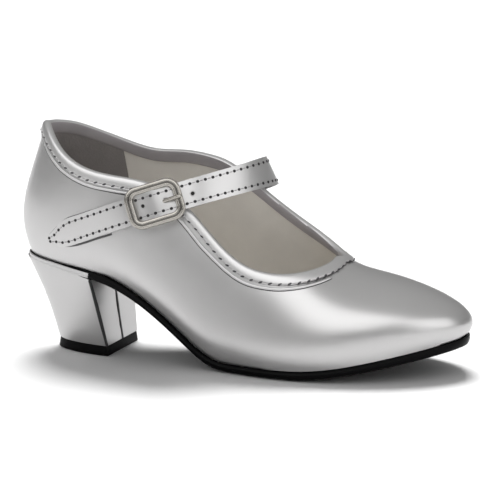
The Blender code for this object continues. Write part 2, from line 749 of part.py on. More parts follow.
def prong_path():
    """Hook round the centre bar, then straight up to lie on the end bar nearest the throat."""
    loop = BAR_RADIUS + FIT_GAP + PRONG_RADIUS
    rest_x = BUCKLE_LENGTH / 2 - BUCKLE_BAR / 2
    bar_middle = BAR_LEVEL + BUCKLE_THICKNESS / 2
    slope = (bar_middle + BAR_DEPTH) / rest_x
    for _ in range(4):
        over_bar = math.hypot(BUCKLE_THICKNESS / 2, slope * BUCKLE_BAR / 2)
        rest_z = bar_middle + over_bar + (PRONG_RADIUS + FIT_GAP) * math.hypot(1, slope)
        span = math.hypot(rest_x, rest_z + BAR_DEPTH)
        leave = math.atan2(rest_z + BAR_DEPTH, rest_x) + math.acos(loop / span)
        start = np.array((loop * math.cos(leave), 0.0, loop * math.sin(leave) - BAR_DEPTH))
        slope = (rest_z - start[2]) / (rest_x - start[0])
    points = []
    for turn in np.linspace(leave + PRONG_HOOK, leave, 15):
        points.append(np.array((loop * math.cos(turn), 0.0, loop * math.sin(turn) - BAR_DEPTH)))
    reach = rest_x + PRONG_OVER - start[0]
    for share in (0.25, 0.5, 0.75, 0.95, 1.0):
        points.append(start + reach * share * np.array((1.0, 0.0, slope)))
    return np.array(points)


def make_prong(frame):
    path = place(frame, prong_path())
    radii = [PRONG_RADIUS] * (len(path) - 1) + [PRONG_RADIUS * 0.55]
    rings = tube_rings(path, radii, radii, 10, [frame[2]] * len(path))
    add_stack("buckle_prong", rings, "brushed_nickel", 50.0)


def make_strap(underside, frame):
    out = grid_normals(underside, False)
    if out[10, 2, 1] > 0:
        out = -out
    add_band("strap", underside, underside + STRAP_THICKNESS * out, "silver_leather")
    path = prong_path()
    through = path[14] + (path[19] - path[14]) * np.array([[0.12], [0.9]])
    hole = place(frame, through)
    radii = [PRONG_HOLE_RADIUS] * 2
    drill = add_stack("drill", tube_rings(hole, radii, radii, 12, [frame[2]] * 2), "brushed_nickel")
    cut(bpy.data.objects["strap"], drill)


def make_tab(frame):
    """Leather tab under the tail: an eye round the centre bar and a tongue sewn to the quarter."""
    inner = BAR_RADIUS + FIT_GAP
    outer = inner + TAB_EYE_WALL
    low = -BAR_DEPTH - outer
    turns = np.linspace(-math.pi / 2, math.pi / 2 + 0.55, 14)
    eye = [(outer * math.cos(t), outer * math.sin(t) - BAR_DEPTH) for t in turns]
    top = low + TAB_THICKNESS
    outline = [(-TAB_LENGTH, low), *eye, (-1.6 * outer, top), (-TAB_LENGTH, top)]
    outline = np.array(outline)
    ends = (TAB_SHIFT - TAB_WIDTH / 2, TAB_SHIFT + TAB_WIDTH / 2)
    rings = [np.column_stack([outline[:, 0], np.full(len(outline), y), outline[:, 1]]) for y in ends]
    points = place(frame, np.array(rings)).reshape(-1, 3)
    columns = len(outline)
    faces = grid_faces(2, columns, True)
    faces += [tuple(range(columns)), tuple(range(columns, 2 * columns))]
    tab = add_object("buckle_tab", points, faces, "silver_leather")
    path = place(frame, [(0, -TAB_WIDTH, -BAR_DEPTH), (0, TAB_WIDTH, -BAR_DEPTH)])
    bore = add_stack("bore", tube_rings(path, [inner] * 2, [inner] * 2, 16, [frame[3]] * 2), "silver_leather")
    cut(tab, bore)
    slot_end, slot_low, slot_top = 1.35 * outer, 2 * low, 2 * outer
    slot = TAB_SLOT / 2
    box = [
        [(-slot_end, -slot, z), (-slot_end, slot, z), (2 * outer, slot, z), (2 * outer, -slot, z)]
        for z in (slot_low, slot_top)
    ]
    cut(tab, add_stack("slot", [place(frame, ring) for ring in np.array(box)], "silver_leather"))


def main():
    for thing in list(bpy.data.objects):
        bpy.data.objects.remove(thing)
    outer, inner = make_upper()
    make_binding(outer, inner)
    make_outsole()
    make_insole(inner)
    make_heel()
    underside = strap_underside()
    frame = buckle_frame_of(underside)
    make_buckle(frame)
    make_prong(frame)
    make_strap(underside, frame)
    make_tab(frame)


main()
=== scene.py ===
"""Looks of a right-foot flamenco shoe: silver leather, binding, stitching, buckle, heel, lining and studio.

Every length is in metres in the frame of the CAD model: +X to the toe, +Y to the inner side, +Z up.
"""

import math

import bpy
import numpy as np
from mathutils import Matrix, Vector
from mathutils.bvhtree import BVHTree


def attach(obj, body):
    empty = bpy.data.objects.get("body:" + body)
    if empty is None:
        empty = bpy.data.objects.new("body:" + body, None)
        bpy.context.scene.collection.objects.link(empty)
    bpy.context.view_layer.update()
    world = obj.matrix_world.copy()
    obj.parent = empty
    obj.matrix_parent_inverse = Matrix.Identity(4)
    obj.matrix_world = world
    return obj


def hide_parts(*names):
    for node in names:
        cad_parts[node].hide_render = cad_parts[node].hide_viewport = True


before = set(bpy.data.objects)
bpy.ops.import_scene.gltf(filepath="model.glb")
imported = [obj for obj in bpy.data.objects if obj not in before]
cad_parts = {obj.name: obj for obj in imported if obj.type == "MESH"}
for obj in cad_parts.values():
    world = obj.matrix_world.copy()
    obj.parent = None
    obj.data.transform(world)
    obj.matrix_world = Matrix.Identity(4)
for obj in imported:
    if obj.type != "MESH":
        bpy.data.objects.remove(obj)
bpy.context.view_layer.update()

bl_info = {
    "name": "Flamenco shoe",
    "version": (1, 0, 0),
    "blender": (4, 5, 0),
    "location": "View3D > Sidebar > Shoe",
    "description": "Dresses the packed flamenco shoe with leather, stitching, metal and a studio",
    "category": "Object",
}

BODY = "root"

# Outer edge of the topline all the way round, and the strap's two outer edges from its tip to its
# inner end, both in millimetres
TOPLINE_MM = [
    (-20.5, -0.8, 104.8), (-19.5, -4.3, 105.5), (-17.5, -7.9, 105.1), (-14.5, -11.9, 102.8),
    (-9.5, -16.7, 97.9), (-1.1, -21.6, 91.6), (10.5, -24.8, 87.2), (24.1, -25.7, 85.3),
    (38.7, -24.5, 83.2), (54.2, -22.7, 75.5), (70.0, -23.3, 59.2), (85.0, -25.8, 48.4),
    (97.7, -25.2, 45.6), (106.6, -22.1, 45.6), (112.6, -17.7, 46.4), (116.2, -13.1, 47.2),
    (118.2, -9.1, 47.9), (119.3, -5.8, 48.5), (119.9, -2.9, 48.9), (120.1, -0.4, 49.2),
    (120.1, 2.0, 49.5), (120.2, 4.2, 49.6), (121.0, 6.6, 49.2), (121.3, 9.2, 48.8),
    (120.8, 12.0, 48.7), (119.5, 14.9, 48.9), (117.1, 17.8, 49.6), (113.8, 20.7, 51.0),
    (109.4, 23.8, 53.1), (102.7, 27.0, 56.4), (92.1, 27.8, 62.8), (77.8, 24.4, 74.4),
    (62.1, 22.3, 86.6), (46.4, 25.0, 89.6), (31.3, 26.4, 89.6), (17.1, 26.0, 90.9),
    (4.5, 22.9, 95.6), (-5.4, 18.2, 99.9), (-12.0, 13.6, 102.6), (-16.2, 9.8, 103.8),
    (-18.8, 6.2, 104.3), (-20.3, 2.7, 104.5),
]

STRAP_MM = [
    (-10.5, -24.6, 54.1, -10.9, -24.6, 55.3), (-6.8, -25.8, 52.6, -9.1, -25.4, 59.2),
    (-2.0, -27.2, 52.4, -5.7, -26.4, 62.8), (3.1, -28.6, 53.7, -1.1, -27.6, 65.3),
    (8.3, -29.9, 55.8, 4.1, -28.7, 67.4), (13.9, -31.3, 58.1, 9.7, -30.0, 69.6),
    (20.0, -32.7, 60.5, 15.8, -31.5, 72.0), (26.4, -33.7, 63.0, 22.2, -32.5, 74.5),
    (33.2, -34.2, 65.5, 29.0, -32.8, 77.1), (38.5, -33.6, 67.4, 34.3, -32.1, 78.9),
    (43.6, -33.8, 69.3, 39.4, -32.2, 80.8), (49.4, -32.3, 71.3, 45.3, -30.5, 82.8),
    (54.6, -29.4, 72.8, 50.4, -27.3, 84.4), (59.8, -27.2, 74.5, 55.6, -24.8, 86.0),
    (64.8, -24.2, 75.9, 60.5, -22.0, 87.5), (70.1, -19.7, 77.3, 65.7, -18.0, 88.9),
    (75.1, -14.1, 78.4, 70.7, -13.1, 90.2), (79.8, -7.7, 79.3, 75.3, -7.6, 91.3),
    (83.7, -0.9, 79.9, 79.1, -1.8, 92.2), (86.4, 6.1, 80.1, 81.7, 4.2, 92.6),
    (87.6, 12.8, 79.8, 82.9, 10.1, 92.7), (86.7, 19.1, 79.0, 81.9, 15.6, 92.2),
    (83.3, 24.4, 77.5, 78.4, 20.2, 90.8), (77.4, 27.8, 75.1, 72.4, 23.2, 88.4),
    (69.7, 29.0, 72.0, 65.3, 25.5, 85.5), (62.8, 29.4, 69.1, 58.1, 27.6, 82.5),
    (55.7, 29.6, 66.3, 50.9, 28.6, 79.7), (52.1, 29.6, 65.0, 47.3, 28.8, 78.4),
]

# The buckle's middle and its own directions, with levels counted out from the middle of the strap
BUCKLE_AT = (0.044429, -0.029156, 0.075662)
BUCKLE_ALONG = (0.916562, 0.259938, 0.303886)
BUCKLE_ACROSS = (-0.346623, 0.137465, 0.927877)
BUCKLE_OUT = (0.199417, -0.955791, 0.216096)
BUCKLE_LENGTH = 0.0262
BUCKLE_WIDTH = 0.0195
BUCKLE_BAR = 0.0038
BUCKLE_CORNER = 0.0062
BUCKLE_TOP = 0.0038
BUCKLE_BAR_LEVEL = 0.0015
BUCKLE_RAIL_LEVEL = -0.0024
BUCKLE_BAR_DEPTH = 0.0016
BUCKLE_BAR_RADIUS = 0.0008

# Foot and head of each seam on the heel's breast, along the shoe and across it
HEEL_SEAMS = (
    ((0.01505, -0.0168), (0.0082, -0.0235)),
    ((0.0160, 0.0004), (0.0100, 0.0006)),
    ((0.0140, 0.0180), (0.0090, 0.0250)),
)

# The strap's tail comes to a point: tip and root of its lower edge, and how it narrows
TAIL_TIP = (-0.0108, -0.0246, 0.0536)
TAIL_ROOT = (0.0060, -0.0290, 0.0553)
TAIL_POINTED = 0.0150
TAIL_PINCH = 0.62
TAIL_STRETCH = 0.0014

# How far up the strap the painted shadow line at the tail's edges runs, and its width below and above
TAIL_SHADE_REACH = 0.036
TAIL_SHADE_WIDTHS = ((-1, 0.0010), (1, 0.0006))

# Punched holes from the buckle's middle, along the strap and across it
HOLES = ((-0.0052, 0.0006), (0.0052, 0.0005), (0.0180, -0.0002))

# Heights of the foot and the head of the heel's seams
SEAM_FOOT = 0.0046
SEAM_HEAD = 0.0376

# The heel grows towards its seat: height of the seat, middle and half of the heel's plan, added reach
SEAT_HEIGHT = 0.040
SEAT_MIDDLE = (-0.008, 0.0)
SEAT_HALF = (0.018, 0.022)
SEAT_ADDED = (0.0019, 0.0006)

# Level of the heel's lip: at the shoe's origin, its fall per metre ahead, and how much lower it ends in front
LIP_LEVEL = 0.0415
LIP_FALL = 0.077
LIP_DIP = 0.0015
LIP_DIP_FROM = -0.011
LIP_DIP_LENGTH = 0.021

# Camera and light: what they aim at, the camera's lens, and the light of the walls from below to above
CAMERA_TARGET = (0.07905, 0.0, 0.0512)
CAMERA_LENS = 175.68
LIGHT_TARGET = (0.07, 0, 0.05)
SKY_LEVELS = ((0.0, 0.30), (0.10, 0.30), (0.30, 0.34), (0.60, 0.48), (1.0, 0.60))
SKY_ON_MATT = 0.42


class LeatherLook(bpy.types.PropertyGroup):
    silver: bpy.props.FloatVectorProperty(
        name="Silver", description="Colour of the silver leather", subtype="COLOR", size=3,
        default=(0.535, 0.53, 0.53),
    )
    roughness: bpy.props.FloatProperty(
        name="Roughness", description="Roughness of the silver leather", subtype="FACTOR",
        default=0.33,
    )
    grain: bpy.props.FloatProperty(
        name="Grain", description="Size of the leather's fine grain", unit="LENGTH",
        default=0.0006,
    )
    lining: bpy.props.FloatVectorProperty(
        name="Lining", description="Colour of the textile lining", subtype="COLOR", size=3,
        default=(0.78, 0.75, 0.70),
    )
    # The heel grip is a real suede piece; its dark colour is also painted shade inside the back of the shoe
    grip: bpy.props.FloatVectorProperty(
        name="Heel grip", description="Colour of the suede pocket at the heel", subtype="COLOR", size=3,
        default=(0.21, 0.195, 0.19),
    )
    grip_front: bpy.props.FloatProperty(
        name="Grip front", description="How far forward the heel grip reaches", unit="LENGTH",
        default=0.0190,
    )


class StitchLook(bpy.types.PropertyGroup):
    thread: bpy.props.FloatVectorProperty(
        name="Thread", description="Colour of the dark thread", subtype="COLOR", size=3,
        default=(0.012, 0.010, 0.012),
    )
    strap_pitch: bpy.props.FloatProperty(
        name="Strap pitch", description="Distance between stitches on the strap", unit="LENGTH",
        default=0.0037,
    )
    strap_inset: bpy.props.FloatProperty(
        name="Strap inset", description="Distance of the stitches from the strap's edge", unit="LENGTH",
        default=0.0021,
    )
    binding_pitch: bpy.props.FloatProperty(
        name="Binding pitch", description="Distance between stitches on the binding", unit="LENGTH",
        default=0.0044,
    )
    binding_drop: bpy.props.FloatProperty(
        name="Binding drop", description="Distance of the stitches below the topline", unit="LENGTH",
        default=0.0032,
    )


class MetalLook(bpy.types.PropertyGroup):
    nickel: bpy.props.FloatVectorProperty(
        name="Nickel", description="Colour of the buckle", subtype="COLOR", size=3,
        default=(0.40, 0.382, 0.352),
    )
    roughness: bpy.props.FloatProperty(
        name="Roughness", description="Roughness of the buckle", subtype="FACTOR",
        default=0.24,
    )


class SoleLook(bpy.types.PropertyGroup):
    black: bpy.props.FloatVectorProperty(
        name="Black", description="Colour of the sole's edge", subtype="COLOR", size=3,
        default=(0.004, 0.004, 0.0043),
    )
    roughness: bpy.props.FloatProperty(
        name="Roughness", description="Roughness of the sole's edge", subtype="FACTOR",
        default=0.38,
    )


class StudioLook(bpy.types.PropertyGroup):
    azimuth: bpy.props.FloatProperty(
        name="Camera azimuth", description="Turn of the camera from the outer side", subtype="ANGLE",
        default=math.radians(19),
    )
    elevation: bpy.props.FloatProperty(
        name="Camera elevation", description="Height angle of the camera", subtype="ANGLE",
        default=math.radians(12),
    )
    distance: bpy.props.FloatProperty(
        name="Camera distance", description="Distance from the camera to the shoe", unit="LENGTH",
        default=1.112,
    )
    floor: bpy.props.FloatVectorProperty(
        name="Floor", description="Colour of the floor", subtype="COLOR", size=3,
        default=(0.86, 0.86, 0.86),
    )


class Wire:
    """A shader socket that takes part in Python sums."""

    def __init__(self, look, socket):
        self.look = look
        self.socket = socket

    def sum(self, operation, *values):
        return self.look.add("ShaderNodeMath", {"operation": operation}, *values)

    def __add__(self, other):
        return self.sum("ADD", self, other)

    def __sub__(self, other):
        return self.sum("SUBTRACT", self, other)

    def __mul__(self, other):
        return self.sum("MULTIPLY", self, other)

    def __rsub__(self, other):
        return self.sum("SUBTRACT", other, self)

    __radd__ = __add__
    __rmul__ = __mul__

    def step(self, low, high):
        """Soft step from 0 at low to 1 at high."""
        settings = {"interpolation_type": "SMOOTHSTEP"}
        return self.look.add("ShaderNodeMapRange", settings, self, low, high, 0.0, 1.0)


class Look:
    """A material under construction, with its Principled shader."""

    def __init__(self, name, roughness=0.5, metallic=0.0):
        self.material = bpy.data.materials.new(name)
        self.material.use_nodes = True
        self.tree = self.material.node_tree
        self.shader = self.tree.nodes["Principled BSDF"]
        self.set("Roughness", roughness)
        self.set("Metallic", metallic)

    def add(self, kind, settings, *values, output=0):
        """A node of a kind: settings first, then its sockets in order, None to leave one alone."""
        node = self.tree.nodes.new(kind)
        stops = settings.pop("stops", None)
        for key, value in settings.items():
            setattr(node, key, value)
        if stops:
            ramp = node.color_ramp
            while len(ramp.elements) < len(stops):
                ramp.elements.new(0.5)
            for element, (place, colour) in zip(ramp.elements, stops):
                element.position = place
                element.color = (*colour, 1.0)
        for socket, value in zip(node.inputs, values):
            self.feed(socket, value)
        return Wire(self, node.outputs[output])

    def feed(self, socket, value):
        if isinstance(value, Wire):
            self.tree.links.new(value.socket, socket)
        elif value is not None:
            socket.default_value = value

    def set(self, name, value):
        self.feed(self.shader.inputs[name], value)

    def place(self):
        """Object coordinates."""
        return self.add("ShaderNodeTexCoord", {}, output=3)

    def noise(self, size, detail=2.0, vector=None):
        """Soft noise from 0 to 1 whose blobs have the given size."""
        return self.add("ShaderNodeTexNoise", {}, vector or self.place(), None, 1.0 / size, detail)

    def blend(self, factor, a, b):
        """Colour a where the factor is 0 and b where it is 1."""
        node = self.tree.nodes.new("ShaderNodeMix")
        node.data_type = "RGBA"
        for socket, value in zip((node.inputs[0], node.inputs[6], node.inputs[7]), (factor, a, b)):
            self.feed(socket, value)
        return Wire(self, node.outputs[2])

    def bump(self, height, depth, strength=1.0):
        self.set("Normal", self.add("ShaderNodeBump", {}, strength, depth, None, height))


def rgba(colour, gain=1.0):
    return (*(min(1.0, c * gain) for c in colour), 1.0)


def silver_leather(name, settings, gain=1.0, rough=0.0):
    """Silver foil on leather: fine grain, faint clouds in colour and gloss."""
    look = Look(name, settings.roughness, 0.92)
    grain = look.noise(settings.grain, 3.0)
    density = 1 / (settings.grain * 1.5)
    pores = look.add("ShaderNodeTexVoronoi", {"feature": "F1"}, look.place(), None, density)
    clouds = look.noise(0.018, 2.0)
    silver = look.blend(clouds, rgba(settings.silver, 0.96 * gain), rgba(settings.silver, 1.02 * gain))
    worn = rgba(settings.silver, 0.82 * gain)
    look.set("Base Color", look.blend(grain.step(0.62, 0.80) * 0.35, silver, worn))
    look.set("Roughness", settings.roughness + rough + clouds * 0.05 + grain * 0.06 - 0.055)
    look.bump(grain * 0.6 + pores * 0.4, 0.00001, 0.12)
    return look.material


def lining_cloth(settings):
    """Close-woven textile lining, a little pink, with shallow threads both ways."""
    look = Look("lining_cloth", 0.85)
    place = look.place()
    across = look.add("ShaderNodeTexWave", {"bands_direction": "X"}, place, 1400.0, 1.5, 2.0)
    along = look.add("ShaderNodeTexWave", {"bands_direction": "Z"}, place, 1400.0, 1.5, 2.0)
    weave = across * along
    clouds = look.noise(0.012, 3.0)
    cloth = look.blend(clouds, rgba(settings.lining, 0.92), rgba(settings.lining, 1.08))
    look.set("Base Color", look.blend(weave * 0.25, cloth, rgba(settings.lining, 0.78)))
    look.bump(weave + clouds * 0.4, 0.00008, 0.6)
    return look.material


def tape_cloth(settings):
    """Mauve-grey tape on the inner face of the binding, ribbed along its edge."""
    look = Look("tape_cloth", 0.6)
    ribs = look.add("ShaderNodeTexWave", {"bands_direction": "Z"}, look.place(), 900.0, 2.0, 2.0)
    clouds = look.noise(0.008, 3.0)
    tape = look.blend(clouds, (0.30, 0.28, 0.29, 1.0), (0.40, 0.375, 0.385, 1.0))
    look.set("Base Color", look.blend(ribs * 0.25, tape, (0.22, 0.205, 0.215, 1.0)))
    look.bump(ribs, 0.00006, 0.6)
    return look.material


def cut_edge():
    """Cut and inked edge of the strap."""
    look = Look("strap_cut_edge", 0.55)
    fibres = look.noise(0.0005, 3.0)
    look.set("Base Color", look.blend(fibres, (0.07, 0.068, 0.07, 1.0), (0.20, 0.195, 0.20, 1.0)))
    look.bump(fibres, 0.00005, 0.6)
    return look.material


def grip_suede_painted_shade(settings):
    # Suede nap on a dark colour that also paints the shade at the back of the shoe
    look = Look("grip_suede_painted_shade", 0.95)
    nap = look.noise(0.0009, 4.0)
    clouds = look.noise(0.010, 2.0)
    suede = look.blend(clouds, rgba(settings.grip, 0.85), rgba(settings.grip, 1.2))
    look.set("Base Color", look.blend(nap * 0.5, suede, rgba(settings.grip, 1.35)))
    look.bump(nap, 0.00015, 0.8)
    return look.material


# Dark twisted thread; also the material of the thin strips of painted shade
def thread_and_shade_look(name, colour):
    look = Look(name, 0.6)
    twist = look.add("ShaderNodeTexWave", {"bands_direction": "DIAGONAL"}, look.place(), 2500.0, 0.5)
    look.set("Base Color", look.blend(twist, rgba(colour, 0.8), rgba(colour, 1.4)))
    look.bump(twist, 0.00005, 0.5)
    return look.material


def nickel_look(name, settings, gain):
    """Old nickel: brushed lightly, with darker plating in patches."""
    look = Look(name, settings.roughness, 1.0)
    patches = look.noise(0.004, 3.0)
    stretched = look.add("ShaderNodeMapping", {}, look.place(), None, None, (300.0, 2500.0, 2500.0))
    brushed = look.add("ShaderNodeTexNoise", {}, stretched, None, 1.0, 3.0)
    dark, light = rgba(settings.nickel, 0.80 * gain), rgba(settings.nickel, 1.1 * gain)
    look.set("Base Color", look.blend(patches, dark, light))
    look.set("Roughness", settings.roughness + brushed * 0.05 - 0.02)
    look.bump(brushed, 0.00001, 0.05)
    return look.material


def sole_look(name, settings, rough=0.0):
    """Black burnished edge with fine rubbing marks."""
    look = Look(name, settings.roughness + rough)
    look.set("Specular IOR Level", 0.05)
    marks = look.noise(0.0012, 4.0)
    scuffs = look.noise(0.006, 3.0)
    worn = scuffs.step(0.60, 0.75) * marks.step(0.5, 0.7)
    look.set("Base Color", look.blend(worn * 0.35, rgba(settings.black), rgba(settings.black, 3.0)))
    look.set("Roughness", settings.roughness + rough + marks * 0.16 - 0.08)
    look.bump(marks, 0.00004, 0.5)
    return look.material


def insole_look(settings):
    look = Look("insole_sock", 0.7)
    grain = look.noise(0.0009, 3.0)
    clouds = look.noise(0.02, 2.0)
    sock = look.blend(clouds, rgba(settings.lining, 0.9), rgba(settings.lining, 1.05))
    look.set("Base Color", look.blend(grain * 0.3, sock, rgba(settings.lining, 0.8)))
    look.bump(grain, 0.00005, 0.6)
    return look.material


def let_go():
    """Leave edit mode and deselect everything."""
    if bpy.context.object and bpy.context.object.mode != "OBJECT":
        bpy.ops.object.mode_set(mode="OBJECT")
    bpy.ops.object.select_all(action="DESELECT")


def pick(piece):
    let_go()
    piece.select_set(True)
    bpy.context.view_layer.objects.active = piece


def node_copy(node, name):
    """A copy of a CAD node with its loose triangles merged back into quads."""
    piece = bpy.data.objects.new(name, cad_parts[node].data.copy())
    bpy.context.scene.collection.objects.link(piece)
    piece.data.materials.clear()
    pick(piece)
    bpy.ops.mesh.customdata_custom_splitnormals_clear()
    bpy.ops.object.mode_set(mode="EDIT")
    bpy.ops.mesh.select_all(action="SELECT")
    bpy.ops.mesh.remove_doubles(threshold=0.00001)
    bpy.ops.mesh.tris_convert_to_quads(face_threshold=1.05, shape_threshold=1.05, topology_influence=2.0)
    bpy.ops.object.mode_set(mode="OBJECT")
    return piece


def pick_faces(piece, chosen):
    """Enters edit mode with the chosen faces selected."""
    pick(piece)
    bpy.ops.object.mode_set(mode="EDIT")
    bpy.ops.mesh.select_mode(type="FACE")
    bpy.ops.mesh.select_all(action="DESELECT")
    bpy.ops.object.mode_set(mode="OBJECT")
    piece.data.polygons.foreach_set("select", chosen)
    bpy.ops.object.mode_set(mode="EDIT")


def crease_corners(piece, angle, crease=1.0):
    """Keeps a piece's sharp edges sharp under subdivision."""
    pick(piece)
    bpy.ops.object.mode_set(mode="EDIT")
    bpy.ops.mesh.select_mode(type="EDGE")
    bpy.ops.mesh.select_all(action="DESELECT")
    bpy.ops.mesh.edges_select_sharp(sharpness=angle)
    bpy.ops.transform.edge_crease(value=crease)
    bpy.ops.object.mode_set(mode="OBJECT")


def modify(piece, kind, **settings):
    """Adds a modifier and applies it."""
    pick(piece)
    modifier = piece.modifiers.new(kind.lower(), kind)
    for key, value in settings.items():
        setattr(modifier, key, value)
    bpy.ops.object.modifier_apply(modifier=modifier.name)
    return piece


def bevel(piece, width, segments=2, angle=40.0):
    settings = {"limit_method": "ANGLE", "angle_limit": math.radians(angle)}
    return modify(piece, "BEVEL", width=width, segments=segments, **settings)


def rounded(piece, levels):
    return modify(piece, "SUBSURF", levels=levels, render_levels=levels)


def dress(piece, slot, *materials, angle=50.0, replaced=()):
    """Gives a finished piece its materials, smooth shading and body, and hides the CAD parts it replaces."""
    for material in materials:
        piece.data.materials.append(material)
    pick(piece)
    bpy.ops.object.shade_smooth_by_angle(angle=math.radians(angle))
    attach(piece, BODY)
    if replaced:
        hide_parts(*replaced)
    return piece


def unit(vectors):
    return vectors / np.linalg.norm(vectors, axis=-1, keepdims=True)


def smooth_path(points, closed, per=14):
    """A smooth curve through points."""
    points = np.asarray(points, float)
    count = len(points)
    rows = []
    for i in range(count if closed else count - 1):
        around = [i - 1, i, i + 1, i + 2]
        around = [k % count for k in around] if closed else [min(max(k, 0), count - 1) for k in around]
        a, b, c, d = points[around]
        t = np.arange(per)[:, None] / per
        bend = (2 * a - 5 * b + 4 * c - d) * t**2 + (3 * b - a - 3 * c + d) * t**3
        rows.append(b + 0.5 * ((c - a) * t + bend))
    if not closed:
        rows.append(points[-1:])
    return np.concatenate(rows)


def spaced(path, step, closed, start=0.0, stop=0.0):
    """Places every step along a path, and the way it runs there."""
    ring = np.vstack([path, path[:1]]) if closed else path
    travel = np.concatenate([[0], np.cumsum(np.linalg.norm(np.diff(ring, axis=0), axis=1))])
    length = travel[-1] - start - stop
    count = max(2, round(length / step))
    at = start + length * (np.arange(count) if closed else np.arange(count + 1)) / count

    def along(distance):
        distance = np.mod(distance, travel[-1]) if closed else np.clip(distance, 0, travel[-1])
        return np.column_stack([np.interp(distance, travel, ring[:, k]) for k in range(3)])

    return along(at), unit(along(at + 0.0006) - along(at - 0.0006))


class Skin:
    """Nearest places on a finished piece."""

    def __init__(self, piece):
        corners = [v.co for v in piece.data.vertices]
        self.tree = BVHTree.FromPolygons(corners, [tuple(p.vertices) for p in piece.data.polygons])

    def nearest(self, points):
        found = [self.tree.find_nearest(Vector(p)) for p in points]
        return np.array([f[0] for f in found]), np.array([f[1] for f in found])


def strip(name, places, outs, width, height, closed):
    """A rolled strip laid along places: width across it and height outwards."""
    let_go()
    bpy.ops.curve.primitive_bezier_circle_add(radius=0.5)
    section = bpy.context.object
    section.data.resolution_u = 4
    bpy.ops.object.mode_set(mode="EDIT")
    bpy.ops.curve.select_all(action="SELECT")
    bpy.ops.transform.resize(value=(width, height, 1.0))
    bpy.ops.object.mode_set(mode="OBJECT")
    if closed:
        ahead = unit(np.roll(places, -1, 0) - np.roll(places, 1, 0))
    else:
        ahead = unit(np.gradient(places, axis=0))
    side = unit(np.cross(ahead, (0.0, 0.0, 1.0)))
    tilts = np.arctan2((outs * side).sum(1), (outs * np.cross(side, ahead)).sum(1))
    return laid(name, section, places, tilts, closed)


def laid(name, section, places, tilts, closed):
    """Runs a section along a path and makes it a mesh."""
    path = bpy.data.curves.new(name, "CURVE")
    path.dimensions = "3D"
    path.twist_mode = "Z_UP"
    path.use_fill_caps = not closed
    path.bevel_mode = "OBJECT"
    path.bevel_object = section
    line = path.splines.new("POLY")
    line.points.add(len(places) - 1)
    line.use_cyclic_u = closed
    for point, place, tilt in zip(line.points, places, tilts):
        point.co = (*place, 1.0)
        point.tilt = tilt
    piece = bpy.data.objects.new(name, path)
    bpy.context.scene.collection.objects.link(piece)
    pick(piece)
    bpy.ops.object.convert(target="MESH")
    piece = bpy.context.object
    bpy.data.objects.remove(section)
    pick(piece)
    bpy.ops.object.mode_set(mode="EDIT")
    bpy.ops.mesh.select_all(action="SELECT")
    bpy.ops.mesh.remove_doubles(threshold=0.000001)
    bpy.ops.mesh.normals_make_consistent(inside=False)
    bpy.ops.object.mode_set(mode="OBJECT")
    return piece


def seed_shape(size, ring_count=6, segments=10):
    """A small stitch: a sphere flattened and drawn out to size along X, Y and Z."""
    let_go()
    bpy.ops.mesh.primitive_uv_sphere_add(segments=segments, ring_count=ring_count, radius=1.0)
    bpy.ops.object.mode_set(mode="EDIT")
    bpy.ops.transform.resize(value=[s / 2 for s in size])
    bpy.ops.object.mode_set(mode="OBJECT")
    return bpy.context.object


def join(pieces):
    """Joins pieces into the first one."""
    let_go()
    for piece in pieces:
        piece.select_set(True)
    bpy.context.view_layer.objects.active = pieces[0]
    bpy.ops.object.join()


def sow(name, seed, places, aheads, outs):
    """Copies of a seed, each turned with X ahead and Z out, joined in one piece."""
    copies = []
    for place, ahead, out in zip(places, aheads, outs):
        side = Vector(out).cross(Vector(ahead)).normalized()
        front = side.cross(Vector(out)).normalized()
        turn = Matrix((front, side, Vector(out))).transposed().to_4x4()
        made = bpy.data.objects.new(name, seed.data.copy())
        made.data.transform(Matrix.Translation(Vector(place)) @ turn)
        bpy.context.scene.collection.objects.link(made)
        copies.append(made)
    bpy.data.objects.remove(seed)
    join(copies)
    copies[0].name = name
    return copies[0]


def inside_faces(piece):
    """The faces that look into the shoe, towards a line from heel to toe."""
    polygons = piece.data.polygons
    centre = np.array([p.center for p in polygons])
    normal = np.array([p.normal for p in polygons])
    x = np.clip(centre[:, 0], -0.005, 0.155)
    line = np.column_stack([
        x,
        np.interp(x, [0.0, 0.06, 0.155], [0.0, 0.0, 0.011]),
        np.interp(x, [0.0, 0.03, 0.07, 0.12, 0.155], [0.068, 0.062, 0.036, 0.020, 0.021]),
    ])
    return ((centre - line) * normal).sum(1) < 0


def topline():
    """The topline as a closed path, with the ways down the outer face and out of it."""
    path = smooth_path(np.array(TOPLINE_MM) / 1000, True)
    places, ahead = spaced(path, 0.0008, True)
    away = unit(np.column_stack([ahead[:, 1], -ahead[:, 0], 0 * ahead[:, 0]]))
    middle = places.mean(0)
    away *= np.sign(((places - middle) * away).sum(1).mean())
    return places, ahead, away


def down_the_skin(skin, places, ahead, away, drop):
    """Places a little way down the upper's outer face from the topline, and the way out there."""
    _, out = skin.nearest(places + away * 0.004 - np.array((0, 0, 0.004)))
    down = unit(np.cross(ahead, out))
    down *= np.sign((down * (away - np.array((0, 0, 1.0)))).sum(1))[:, None]
    return skin.nearest(places + down * drop + out * 0.0012), down


def settle(values, closed=True, rounds=6):
    """Evens out a row of vectors."""
    for _ in range(rounds):
        before, after = np.roll(values, 1, 0), np.roll(values, -1, 0)
        if not closed:
            before[0], after[-1] = values[0], values[-1]
        values = (before + 2 * values + after) / 4
    return values


class SHOE_OT_upper(bpy.types.Operator):
    """Lasted upper with its textile lining"""

    bl_idname = "shoe.upper"
    bl_label = "Upper"

    def execute(self, context):
        settings = context.scene.shoe_leather
        upper = node_copy("upper", "upper_skin")
        crease_corners(upper, math.radians(50))
        rounded(upper, 2)
        inside = inside_faces(upper)
        silver = silver_leather("silver_leather_upper", settings)
        dress(upper, "silver_leather", silver, lining_cloth(settings), angle=60, replaced=["upper"])
        upper.data.polygons.foreach_set("material_index", inside.astype(np.int32))
        return {"FINISHED"}


